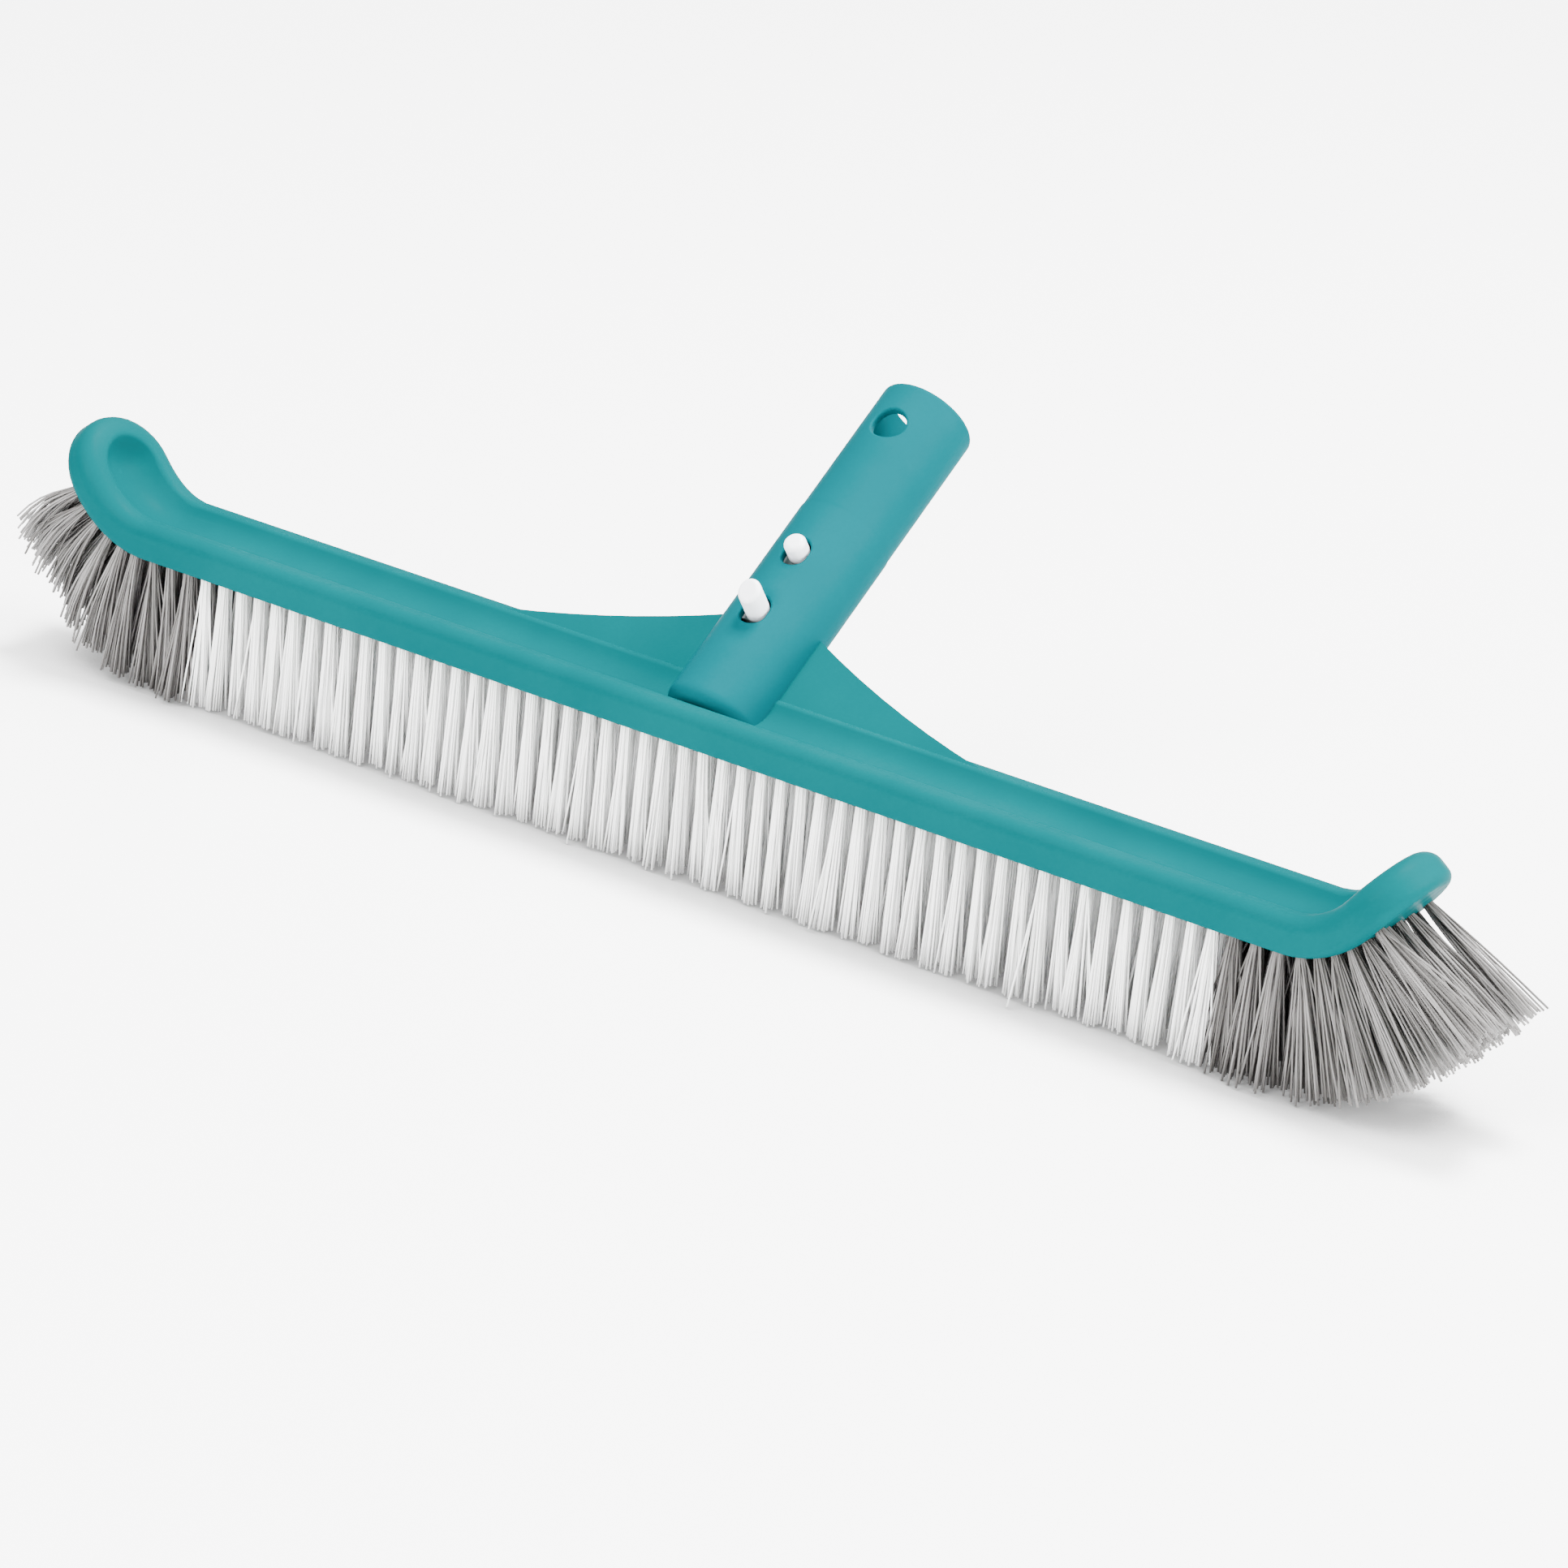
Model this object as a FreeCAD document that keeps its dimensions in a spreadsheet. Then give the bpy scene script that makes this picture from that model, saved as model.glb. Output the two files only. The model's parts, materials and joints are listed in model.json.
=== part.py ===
"""Pool wall brush: a curved back with five rows of bristle tufts and a tube with a spring clip.

Row frame: +X along the brush, +Y away from the user's side towards the pole, +Z up.
The origin is the centre of the face on which the bristles stand. All lengths are millimetres.
"""
import FreeCAD
import Part

import math
import os

from FreeCAD import Placement, Rotation, Vector

# alias, value, meaning
DIMENSIONS = [
    ("bristle_length", 39.0, "bristle face of the back above the bristle tips"),
    ("half_width", 15.5, "half the width of the back"),
    ("rim_height", 10.2, "top of the rim above the bristle face"),
    ("rim_round", 3.6, "outer rounding of the rim"),
    ("crest_round", 2.0, "inner rounding of the rim"),
    ("foot_round", 0.6, "rounding at the bottom edge of the rim"),
    ("floor_thickness", 5.6, "thinnest place, in the middle of the trough"),
    ("trough_radius", 11.1, "hollow of the trough across the back"),
    ("straight_half", 191.5, "half of the straight stretch of the back"),
    ("bend_radius", 32.6, "bend of the bristle face at both ends"),
    ("bend_angle", 52.0, "how far both ends turn up, degrees"),
    ("tip_straight", 1.0, "straight stretch between a bend and the half round of the tip"),
    ("tip_half_width", 17.0, "half of the width of the tips, to which the bends widen"),
    ("tip_rim_height", 11.2, "rim of the tips above the bristle face"),
    ("tip_rim_round", 5.4, "outer rounding of the rim on the tips"),
    ("tip_foot_round", 3.0, "rounding at the bottom edge of the tips"),
    ("tube_foot_back", -4.0, "where the tube axis meets the bristle face, along Y"),
    ("tube_rise", 35.0, "slope of the tube axis, degrees above level"),
    ("tube_start", 2.5, "lower end of the tube along its axis"),
    ("tube_foot_round", 4.0, "rounding of the tube's lower end"),
    ("tube_radius", 14.4, "outside of the tube's lower stretch"),
    ("spigot_radius", 14.2, "outside of the stretch that slides into a pole"),
    ("spigot_start", 73.8, "step between the two stretches"),
    ("tube_end", 119.4, "open end of the tube"),
    ("tube_end_round", 1.2, "rounding of the open end"),
    ("bore_radius", 11.8, "inside of the tube"),
    ("bore_start", 24.0, "floor of the bore"),
    ("underside_clearance", 1.0, "tube's flat underside above the bristle face"),
    ("hang_hole_radius", 5.0, "hole across the open end"),
    ("hang_hole_at", 104.8, "its place along the tube"),
    ("hole_edge_round", 0.6, "soft edge of the holes on the outside of the tube"),
    ("web_half_span", 82.0, "half the width of the two webs at the rim"),
    ("web_thickness", 2.6, "thickness of the webs"),
    ("web_root", 14.5, "buried edge of the webs, along the tube"),
    ("web_shoulder", 17.4, "where the webs leave the rim, along the tube"),
    ("web_top", 39.5, "where the webs leave the tube"),
    ("web_sag", 2.0, "how hollow the outline of a web is"),
    ("pin_at", 56.8, "lock pins along the tube"),
    ("pin_radius", 3.2, "lock pins"),
    ("pin_height", 3.3, "lock pins above the tube"),
    ("pin_dome", 1.6, "rounding of their heads"),
    ("button_at", 35.4, "release buttons along the tube"),
    ("button_radius", 3.45, "release buttons"),
    ("button_height", 8.8, "release buttons above the tube, high side"),
    ("button_slant", 3.2, "drop of the button's top towards the tray"),
    ("button_round", 1.2, "rounding round the button's slanted top"),
    ("button_edge", 0.5, "rounding of the button's rim before the slant is cut"),
    ("slot_clearance", 0.5, "gap around pins and buttons"),
    ("slot_travel", 1.9, "how much longer the slots are, towards the tray"),
    ("strip_width", 8.0, "spring strip of the clip"),
    ("strip_thickness", 1.6, "spring strip of the clip"),
    ("strip_reach", 10.1, "middle of the straight strip from the tube axis"),
    ("strip_end", 32.4, "free end of the strip, along the tube"),
    ("strip_knee", 66.0, "where the strip turns inwards"),
    ("pivot_at", 93.0, "flexing root of a leg, along the tube"),
    ("pivot_reach", 3.0, "flexing root of a leg, from the tube axis"),
    ("pivot_gap", 0.16, "gap between a leg and the bend"),
    ("tuft_pitch", 6.55, "tuft to tuft along a row"),
    ("row_pitch", 6.0, "row to row"),
    ("tuft_radius", 1.6, "a tuft at its root"),
    ("hole_radius", 1.75, "tuft hole"),
    ("hole_depth", 4.3, "tuft hole"),
    ("root_depth", 2.9, "how deep the bristles sit in the hole"),
    ("merge_depth", 8.0, "below the face, where neighbouring tufts mingle"),
    ("curtain_thickness", 4.6, "a row of mingled tufts"),
    ("row_gap", 0.2, "half of the gap between two stretches of a row"),
    ("bend_step", 9.1, "tuft to tuft around the bend, degrees"),
    ("fan_angle", 57.5, "how far the rows of tufts fan out around a bend, degrees"),
    ("anchor_thickness", 0.4, "staple that holds a tuft"),
    ("anchor_width", 3.1, "staple that holds a tuft"),
    ("anchor_height", 1.0, "staple that holds a tuft"),
    ("overrun", 1.0, "how far a cutting or joining shape runs past the surface it meets"),
]
ROWS = 5
MIDDLE_ROW = 3
OUTER_ROWS = (1, ROWS)
WHITE_TUFTS_IN_OUTER_ROW = 53
GREY_TUFTS_BEFORE_BEND = 3
GREY_TUFTS_FROM_BEND = 6
# Places of the sections along a bend, as shares of its angle
BEND_SECTIONS = (0.0, 0.25, 0.5, 0.75, 1.0)
LEVEL, HALF_TURN, FULL_TURN = 90.0, 180.0, 360.0
# How near the spigot radius an edge's ends lie when it bounds a hole, millimetres
ON_SURFACE = 0.25
X_AXIS, Y_AXIS, Z_AXIS = Vector(1, 0, 0), Vector(0, 1, 0), Vector(0, 0, 1)

doc = FreeCAD.newDocument("pool_wall_brush")
sheet = doc.addObject("Spreadsheet::Sheet", "Dimensions")
for line, (alias, value, meaning) in enumerate(DIMENSIONS, start=1):
    sheet.set(f"A{line}", meaning)
    sheet.set(f"B{line}", str(value))
    sheet.setAlias(f"B{line}", alias)
doc.recompute()


def dim(alias):
    """A driving dimension, read from the sheet."""
    return float(sheet.get(alias))


def total(expression):
    """Value of an 'alias + alias' expression."""
    return sum(dim(word) for word in expression.split() if word != "+")


def bind(obj, **properties):
    """Bind properties of an object to expressions over the sheet's aliases."""
    for name, expression in properties.items():
        words = expression.split()
        bound = ["Dimensions." + word if word[0].isalpha() else word for word in words]
        obj.setExpression(name, " ".join(bound))
    return obj


def tube_frame(along=0.0, turn=0.0):
    """Placement on the tube axis: Z along the tube, -Y towards its front and top."""
    foot = Vector(0, dim("tube_foot_back"), dim("bristle_length"))
    slope = Placement(foot, Rotation(X_AXIS, dim("tube_rise") - LEVEL))
    return slope * Placement(Vector(0, 0, along), Rotation(Z_AXIS, turn))


# ---------------------------------------------------------------- sketches and simple features

def add_sketch(body, name, role, offset=None):
    """A sketch on one of the body's own origin planes, moved by offset in that plane's frame."""
    plane = next(item for item in body.Origin.OriginFeatures if item.Role == role)
    sketch = body.newObject("Sketcher::SketchObject", name)
    sketch.AttachmentSupport = [(plane, "")]
    sketch.MapMode = "FlatFace"
    sketch.AttachmentOffset = offset or Placement()
    return sketch


def draw_lines(sketch, points):
    """A closed outline of straight lines."""
    for start, end in zip(points, points[1:] + points[:1]):
        sketch.addGeometry(Part.LineSegment(Vector(*start), Vector(*end)), False)


def arc(start, middle, end):
    """An arc through three points of a sketch."""
    return Part.Arc(Vector(*start, 0), Vector(*middle, 0), Vector(*end, 0))


def line(start, end):
    """A straight edge of a sketch."""
    return Part.LineSegment(Vector(*start, 0), Vector(*end, 0))


def corner_arc(centre, radius, start_angle, end_angle):
    """A fillet arc about a centre between two angles in degrees."""
    angles = (start_angle, (start_angle + end_angle) / 2, end_angle)
    points = [(centre[0] + radius * math.cos(math.radians(a)),
               centre[1] + radius * math.sin(math.radians(a))) for a in angles]
    return arc(*points)


def revolve(body, sketch, axis, angle, backwards=False):
    """Turn a sketch about one of its own axes."""
    feature = body.newObject("PartDesign::Revolution", sketch.Name + "_turn")
    feature.Profile = sketch
    feature.ReferenceAxis = (sketch, [axis])
    feature.Reversed = backwards
    if isinstance(angle, str):
        bind(feature, Angle=angle)
    else:
        feature.Angle = angle
    return feature


def pad(body, sketch, length, midplane=False, backwards=False):
    """Pad a sketch by a length from the sheet."""
    feature = body.newObject("PartDesign::Pad", sketch.Name + "_pad")
    feature.Profile = sketch
    if midplane:
        feature.Midplane = True
    feature.Reversed = backwards
    return bind(feature, Length=length)


def cylinder(name, placement, radius, height, angle=None):
    """A Part cylinder bound to the sheet."""
    feature = doc.addObject("Part::Cylinder", name)
    bind(feature, Radius=radius, Height=height)
    if angle:
        bind(feature, Angle=angle)
    feature.Placement = placement
    return feature


def box(name, corner, length, width, height):
    """A Part box bound to the sheet."""
    feature = doc.addObject("Part::Box", name)
    bind(feature, Length=length, Width=width, Height=height)
    feature.Placement.Base = corner
    return feature


def cut(name, base, tool):
    """Base less tool."""
    feature = doc.addObject("Part::Cut", name)
    feature.Base = base
    feature.Tool = tool
    return feature


def fuse(name, shapes):
    """Several shapes made one."""
    feature = doc.addObject("Part::MultiFuse", name)
    feature.Shapes = shapes
    return feature


def shape_feature(name, shape):
    """A computed shape as a document object."""
    feature = doc.addObject("Part::Feature", name)
    feature.Shape = shape
    return feature


# ---------------------------------------------------------------- tray of the back

def half_section(drop, rounder):
    """Edges of the +Y half of the tray's section, from its middle below to the trough.

    The bristle face is drawn at height -drop, so that the sketch origin can be the bend axis.
    The section is that of the straight tray where rounder is 0 and that of the tips where it is 1.
    """
    wide, high, rim, foot = [dim(name) + rounder * (dim("tip_" + name) - dim(name))
                             for name in ("half_width", "rim_height", "rim_round", "foot_round")]
    crest = dim("crest_round")
    hollow = dim("trough_radius")
    hollow_centre = dim("floor_thickness") + hollow
    crest_level = high - crest
    crest_across = math.sqrt((hollow + crest) ** 2 - (hollow_centre - crest_level) ** 2)
    lean = math.degrees(math.atan2(hollow_centre - crest_level, -crest_across))
    meet_angle = math.radians(lean)
    meet = (crest_across + crest * math.cos(meet_angle),
            crest_level + crest * math.sin(meet_angle) - drop)
    edges = [
        line((0, -drop), (wide - foot, -drop)),
        corner_arc((wide - foot, foot - drop), foot, -90, 0),
        line((wide, foot - drop), (wide, high - rim - drop)),
        corner_arc((wide - rim, high - rim - drop), rim, 0, 90),
        line((wide - rim, high - drop), (crest_across, high - drop)),
        corner_arc((crest_across, crest_level - drop), crest, 90, lean),
    ]
    return edges, meet, (0, dim("floor_thickness") - drop)


def draw_section(sketch, whole, rounder=0.0):
    """The tray's section, whole or only its +Y half closed along the middle."""
    drop = dim("bend_radius")
    edges, meet, middle = half_section(drop, rounder)
    if whole:
        mirrored = [edge.copy() for edge in edges]
        for edge in mirrored:
            edge.mirror(Vector(0, 0, 0), Y_AXIS)
        edges = edges + mirrored + [arc(meet, middle, (-meet[0], meet[1]))]
    else:
        hollow_centre = middle[1] + dim("trough_radius")
        half_angle = math.asin(meet[0] / dim("trough_radius")) / 2
        between = (dim("trough_radius") * math.sin(half_angle),
                   hollow_centre - dim("trough_radius") * math.cos(half_angle))
        edges = edges + [arc(meet, between, middle), line(middle, (0, -drop))]
    sketch.addGeometry(edges, False)


def make_tray():
    """Straight tray, a bend at each end and a rounded tip on each bend."""
    body = doc.addObject("PartDesign::Body", "tray")
    axis_height = dim("bristle_length") + dim("bend_radius")
    straight = add_sketch(body, "straight_section", "YZ_Plane",
                          Placement(Vector(0, axis_height, 0), Rotation()))
    draw_section(straight, whole=True)
    pad(body, straight, "2 * straight_half", midplane=True)

    bend_place = Vector(0, axis_height, dim("straight_half"))
    sections = []
    for number, share in enumerate(BEND_SECTIONS):
        turned = Placement(bend_place, Rotation(X_AXIS, -share * dim("bend_angle")))
        sketch = add_sketch(body, f"bend_section_{number}", "YZ_Plane", turned)
        draw_section(sketch, whole=True, rounder=share * share * (3 - 2 * share))
        sections.append(sketch)
    bend = body.newObject("PartDesign::AdditiveLoft", "bend")
    bend.Profile = sections[0]
    bend.Sections = sections[1:]

    stretch_section = add_sketch(body, "stretch_section", "YZ_Plane", turned)
    draw_section(stretch_section, whole=True, rounder=1.0)
    stretch = pad(body, stretch_section, "tip_straight")

    beyond = turned * Placement(Vector(0, 0, dim("tip_straight")), Rotation())
    tip_section = add_sketch(body, "tip_section", "YZ_Plane", beyond)
    draw_section(tip_section, whole=False, rounder=1.0)
    tip = revolve(body, tip_section, "V_Axis", HALF_TURN, backwards=True)

    other_end = body.newObject("PartDesign::Mirrored", "other_end")
    other_end.Originals = [bend, stretch, tip]
    plane = next(item for item in body.Origin.OriginFeatures if item.Role == "YZ_Plane")
    other_end.MirrorPlane = (plane, [""])
    body.Tip = other_end
    return body


def make_webs():
    """Flat plate on both sides of the tube, its top in the tube's axis plane."""
    body = doc.addObject("PartDesign::Body", "web_plate")
    foot = Vector(0, dim("tube_foot_back"), dim("bristle_length"))
    outline = add_sketch(body, "web_outline", "XY_Plane",
                         Placement(foot, Rotation(X_AXIS, dim("tube_rise"))))
    span, root, shoulder = dim("web_half_span"), dim("web_root"), dim("web_shoulder")
    side, top = dim("tube_radius"), dim("web_top")
    hollow = ((span + side) / 2, (shoulder + top) / 2 - dim("web_sag"))
    outline.addGeometry([
        line((-span, root), (span, root)),
        line((span, root), (span, shoulder)),
        arc((span, shoulder), hollow, (side, top)),
        line((side, top), (-side, top)),
        arc((-side, top), (-hollow[0], hollow[1]), (-span, shoulder)),
        line((-span, shoulder), (-span, root)),
    ], False)
    pad(body, outline, "web_thickness", backwards=True)
    tube_space = cylinder("tube_space", tube_frame(), "tube_radius", "tube_end")
    return cut("webs", body, tube_space)


# ---------------------------------------------------------------- tuft places

def bend_station(side, across, angle):
    """Tuft root on a bend, or on the straight stretch that follows it; local -Z points out."""
    radius, lean = dim("bend_radius"), min(angle, dim("bend_angle"))
    turn, beyond = math.radians(lean), radius * math.radians(angle - lean)
    out = radius * math.sin(turn) + beyond * math.cos(turn)
    up = radius * (1 - math.cos(turn)) + beyond * math.sin(turn)
    base = Vector(side * (dim("straight_half") + out), across, dim("bristle_length") + up)
    return Placement(base, Rotation(Y_AXIS, -side * lean))


def row_across(row):
    """Distance of a row from the middle of the back; row 1 is the front one."""
    return (row - MIDDLE_ROW) * dim("row_pitch")


def white_tufts(row):
    """The inner rows are staggered to the outer ones and have one tuft less."""
    return WHITE_TUFTS_IN_OUTER_ROW - (row not in OUTER_ROWS)


def stations(row, stretch):
    """Tuft placements of one row: stretch is white, left or right."""
    pitch, across, face = dim("tuft_pitch"), row_across(row), dim("bristle_length")
    white_count = white_tufts(row)
    last_white = (white_count - 1) / 2
    if stretch == "white":
        return [Placement(Vector((i - last_white) * pitch, across, face), Rotation())
                for i in range(white_count)]
    side = -1 if stretch == "left" else 1
    flat = [Placement(Vector(side * (last_white + i) * pitch, across, face), Rotation())
            for i in range(1, GREY_TUFTS_BEFORE_BEND + 1)]
    first = 1.0 if row in OUTER_ROWS else 0.5
    bent = [bend_station(side, across, (first + i) * dim("bend_step"))
            for i in range(GREY_TUFTS_FROM_BEND)]
    return flat + bent


def all_stations(row):
    """Every tuft of one row."""
    return [place for stretch in ("white", "left", "right") for place in stations(row, stretch)]


def pegs(places, radius, top, bottom):
    """Round pegs from bottom to top along each placement's Z."""
    solids = []
    for place in places:
        peg = Part.makeCylinder(radius, top - bottom, Vector(0, 0, bottom))
        peg.Placement = place
        solids.append(peg)
    return Part.makeCompound(solids)


# ---------------------------------------------------------------- brush back and tube

def make_back(tray, webs):
    """Tray and webs in one moulding, with a blind hole for every tuft."""
    blank = fuse("back_blank", [tray, webs])
    places = [place for row in range(1, ROWS + 1) for place in all_stations(row)]
    holes = shape_feature("tuft_holes",
                          pegs(places, dim("hole_radius"), dim("hole_depth"), -dim("overrun")))
    return cut("brush_back", blank, holes), blank


def make_slot(name, at, radius, through):
    """Cutting shape of a slot through both walls, lengthened towards the tray."""
    centre = tube_frame(dim(at))
    across = Rotation(X_AXIS, LEVEL)
    reach = dim("tube_radius") + dim("overrun")
    both_walls = Placement(Vector(0, reach, 0), across)
    near = cylinder(name + "_near", centre * both_walls, radius, through)
    back = tube_frame(dim(at) - dim("slot_travel"))
    far = cylinder(name + "_far", back * both_walls, radius, through)
    middle = doc.addObject("Part::Box", name + "_middle")
    bind(middle, Length="2 * ( " + radius + " )", Width=through,
         Height="slot_travel")
    middle.Placement = back * Placement(Vector(-total(radius), -reach, 0), Rotation())
    return [near, far, middle]


def hole_edges(shape):
    """Numbers of the hole edges on the outside of the tube."""
    foot = tube_frame().inverse()
    numbers = []
    for number, edge in enumerate(shape.Edges, start=1):
        ends = [foot.multVec(edge.valueAt(u)) for u in edge.ParameterRange]
        outside = all(abs(math.hypot(p.x, p.y) - dim("spigot_radius")) < ON_SURFACE for p in ends)
        middle = foot.multVec(edge.valueAt(sum(edge.ParameterRange) / 2))
        straddles = abs(middle.x) < dim("bore_radius") / 2 and abs(ends[0].x) < dim("bore_radius") / 2
        if outside and straddles and edge.Length < 4 * dim("tube_radius"):
            numbers.append(number)
    return numbers


def make_tube(back_blank):
    """Round tube with a blind bore, a hanging hole and slots for the clip's pins."""
    body = doc.addObject("PartDesign::Body", "tube_blank")
    profile = add_sketch(body, "tube_profile", "XZ_Plane")
    low, spigot, bore = dim("tube_radius"), dim("spigot_radius"), dim("bore_radius")
    start, step, end = dim("tube_start"), dim("spigot_start"), dim("tube_end")
    foot, lip, floor = dim("tube_foot_round"), dim("tube_end_round"), dim("bore_start")
    profile.addGeometry([
        line((0, start), (low - foot, start)),
        corner_arc((low - foot, start + foot), foot, -90, 0),
        line((low, start + foot), (low, step)),
        line((low, step), (spigot, step)),
        line((spigot, step), (spigot, end - lip)),
        corner_arc((spigot - lip, end - lip), lip, 0, 90),
        line((spigot - lip, end), (bore, end)),
        line((bore, end), (bore, floor)),
        line((bore, floor), (0, floor)),
        line((0, floor), (0, start)),
    ], False)
    revolve(body, profile, "V_Axis", FULL_TURN)
    body.Placement = tube_frame()

    through = "2 * tube_radius + 2 * overrun"
    across = Placement(Vector(0, dim("tube_radius") + dim("overrun"), 0), Rotation(X_AXIS, LEVEL))
    hang_hole = cylinder("hang_hole", tube_frame(dim("hang_hole_at")) * across,
                         "hang_hole_radius", through)
    tools = [hang_hole]
    tools += make_slot("pin_slot", "pin_at", "pin_radius + slot_clearance", through)
    tools += make_slot("button_slot", "button_at", "button_radius + slot_clearance", through)
    reach = 2 * dim("tube_radius")
    below = box("below_back", Vector(-reach, -2 * reach, dim("underside_clearance")),
                "4 * tube_radius", "10 * tube_radius", "bristle_length")
    drilled = cut("tube_drilled", body, fuse("tube_cuts", tools))
    doc.recompute()
    softened = doc.addObject("Part::Fillet", "tube_softened")
    softened.Base = drilled
    round_by = dim("hole_edge_round")
    softened.Edges = [(number, round_by, round_by) for number in hole_edges(drilled.Shape)]
    footed = cut("tube_footed", softened, below)
    return cut("handle_tube", footed, back_blank)


# ---------------------------------------------------------------- spring clip

def strip_outline():
    """Outline of a leg: sloping strip from the pivot, then straight to its free end."""
    half = dim("strip_thickness") / 2
    pivot = Vector(dim("pivot_reach"), dim("pivot_at"), 0)
    knee = Vector(dim("strip_reach"), dim("strip_knee"), 0)
    slope = (knee - pivot).normalize()
    out = Vector(-slope.y, slope.x, 0)
    mitre = math.tan((math.pi / 2 - math.atan2(-slope.y, slope.x)) / 2) * half
    free = dim("strip_end")
    inner = Vector(knee.x - half, knee.y - mitre, 0)
    outer = Vector(knee.x + half, knee.y + mitre, 0)
    low, high = pivot - out * half, pivot + out * half
    points = [high, outer, Vector(knee.x + half, free, 0), Vector(knee.x - half, free, 0),
              inner, low]
    edges = [Part.LineSegment(a, b) for a, b in zip(points, points[1:])]
    return edges + [Part.Arc(low, pivot - slope * half, high)]


def round_head(body, name, at, radius, top, rounding):
    """A pin standing outwards on the strip, with a rounded edge round its flat top."""
    sketch = add_sketch(body, name, "YZ_Plane", Placement(Vector(0, at, 0), Rotation()))
    root = dim("strip_reach")
    sketch.addGeometry([
        line((root, 0), (top, 0)),
        line((top, 0), (top, radius - rounding)),
        corner_arc((top - rounding, radius - rounding), rounding, 0, 90),
        line((top - rounding, radius), (root, radius)),
        line((root, radius), (root, 0)),
    ], False)
    return revolve(body, sketch, "H_Axis", FULL_TURN)


def slanted_edges(shape, top, drop):
    """Names of the edges around the slanted top of a button, drawn with Y outwards."""
    at, radius = dim("button_at"), dim("button_radius")
    names = []
    for number, edge in enumerate(shape.Edges, start=1):
        box_of_edge = edge.BoundBox
        on_button = abs(box_of_edge.Center.z - at) < radius
        if on_button and box_of_edge.YMin > top - drop - dim("button_edge") and edge.Length > radius:
            names.append(f"Edge{number}")
    return names


def make_leg(name, turn):
    """One leg of the clip: strip, domed lock pin and slanted release button."""
    body = doc.addObject("PartDesign::Body", name)
    outline = add_sketch(body, name + "_strip", "YZ_Plane")
    outline.addGeometry(strip_outline(), False)
    pad(body, outline, "strip_width", midplane=True)
    surface = dim("tube_radius")
    round_head(body, name + "_pin", dim("pin_at"), dim("pin_radius"),
               surface + dim("pin_height"), dim("pin_dome"))
    top = surface + dim("button_height")
    round_head(body, name + "_button", dim("button_at"), dim("button_radius"), top, dim("button_edge"))
    slant = add_sketch(body, name + "_slant", "YZ_Plane")
    at, radius, drop = dim("button_at"), dim("button_radius"), dim("button_slant")
    above = top + dim("overrun")
    draw_lines(slant, [(above, at + radius), (top, at + radius),
                       (top - drop, at - radius), (above, at - radius)])
    pocket = body.newObject("PartDesign::Pocket", name + "_bevel")
    pocket.Profile = slant
    pocket.Midplane = True
    bind(pocket, Length="4 * button_radius")
    doc.recompute()
    rounding = body.newObject("PartDesign::Fillet", name + "_rounding")
    rounding.Base = (pocket, slanted_edges(pocket.Shape, top, drop))
    bind(rounding, Radius="button_round")
    body.Placement = tube_frame(turn=turn)
    return body


def make_bend():
    """Half ring that joins the two legs."""
    ring, half = dim("pivot_reach"), dim("strip_thickness") / 2
    skip = math.degrees(2 * math.asin((half + dim("pivot_gap")) / (2 * ring)))
    body = doc.addObject("PartDesign::Body", "clip_bend")
    sketch = add_sketch(body, "bend_outline", "YZ_Plane",
                        Placement(Vector(0, dim("pivot_at"), 0), Rotation()))
    first, last = skip, HALF_TURN - skip

    def on_ring(radius, angle):
        return radius * math.cos(math.radians(angle)), radius * math.sin(math.radians(angle))

    sketch.addGeometry([
        corner_arc((0, 0), ring + half, first, last),
        line(on_ring(ring + half, last), on_ring(ring - half, last)),
        corner_arc((0, 0), ring - half, last, first),
        line(on_ring(ring - half, first), on_ring(ring + half, first)),
    ], False)
    pad(body, sketch, "strip_width", midplane=True)
    body.Placement = tube_frame()
    return body


# ---------------------------------------------------------------- bristles and their anchors

def root_pegs(name, places):
    """Tufts from inside their holes to the depth where they mingle."""
    return shape_feature(name + "_roots", pegs(places, dim("tuft_radius"), dim("root_depth"),
                                               -dim("merge_depth") - dim("overrun")))


def curtain(name, row, start, end):
    """Flat stretch of mingled tufts between two places along X."""
    feature = doc.addObject("Part::Box", name)
    feature.Length = end - start
    bind(feature, Width="curtain_thickness", Height="bristle_length - merge_depth")
    feature.Placement.Base = Vector(start, row_across(row) - dim("curtain_thickness") / 2, 0)
    return feature


def white_limit(row):
    """Half length of the white stretch of a row."""
    count = white_tufts(row)
    return count * dim("tuft_pitch") / 2


def make_white_row(row):
    """White tufts of one row."""
    name = f"white_tufts_row_{row}"
    limit = white_limit(row) - dim("row_gap")
    flat = curtain(name + "_curtain", row, -limit, limit)
    return fuse(name, [flat, root_pegs(name, stations(row, "white"))])


def make_grey_row(row, end_name, side):
    """Grey tufts of one row at one end, which fan out around the bend."""
    name = f"grey_tufts_{end_name}_row_{row}"
    inner, outer = white_limit(row) + dim("row_gap"), dim("straight_half")
    flat = curtain(name + "_curtain", row, min(side * inner, side * outer),
                   max(side * inner, side * outer))
    thick = dim("curtain_thickness")
    axis = Vector(side * outer, row_across(row) + side * thick / 2,
                  dim("bristle_length") + dim("bend_radius"))
    # Local X points down and local Y outwards, so that the sector opens from below outwards
    sector = Placement(axis, Rotation(Z_AXIS * -1, X_AXIS * side, Y_AXIS * -side, "XZY"))
    disc = cylinder(name + "_fan", sector, "bend_radius + bristle_length",
                    "curtain_thickness", "fan_angle")
    core = cylinder(name + "_core", sector, "bend_radius + merge_depth", "curtain_thickness")
    fan = cut(name + "_sector", disc, core)
    return fuse(name, [flat, fan, root_pegs(name, stations(row, end_name))])


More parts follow.
